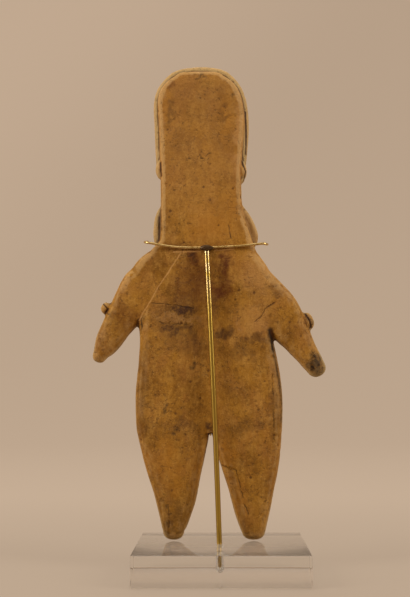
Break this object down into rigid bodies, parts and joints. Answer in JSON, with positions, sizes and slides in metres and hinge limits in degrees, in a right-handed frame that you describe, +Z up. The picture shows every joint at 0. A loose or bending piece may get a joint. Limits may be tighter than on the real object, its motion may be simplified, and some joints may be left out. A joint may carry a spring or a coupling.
{
  "type": "pre-columbian statuette",
  "caption": "Flat fired-clay figure with a long head, stub arms and tapered legs, held on a clear block by a brass rod, a neck cradle and a crotch prong.",
  "frame": {"origin": "centre of the block's underside", "axes": "+Z up; the figure's face looks along -Y, the rod stands behind it on the +Y side; +X is the figure's own left"},
  "size_m": [0.1472, 0.076, 0.3218],
  "materials": {
    "clay": "unglazed fired clay, burnished in places, with dark stains, pits and a mended break",
    "rod_brass": "polished, lightly tarnished",
    "wire_brass": "polished wire with a dark solder joint",
    "acrylic": "clear polished acrylic with a frosted drilled hole"
  },
  "bodies": {
    "root": {"statuette": "clay", "upright_rod": "rod_brass", "neck_cradle": "wire_brass", "crotch_prong": "wire_brass", "base_block": "acrylic"}
  },
  "joints": []
}
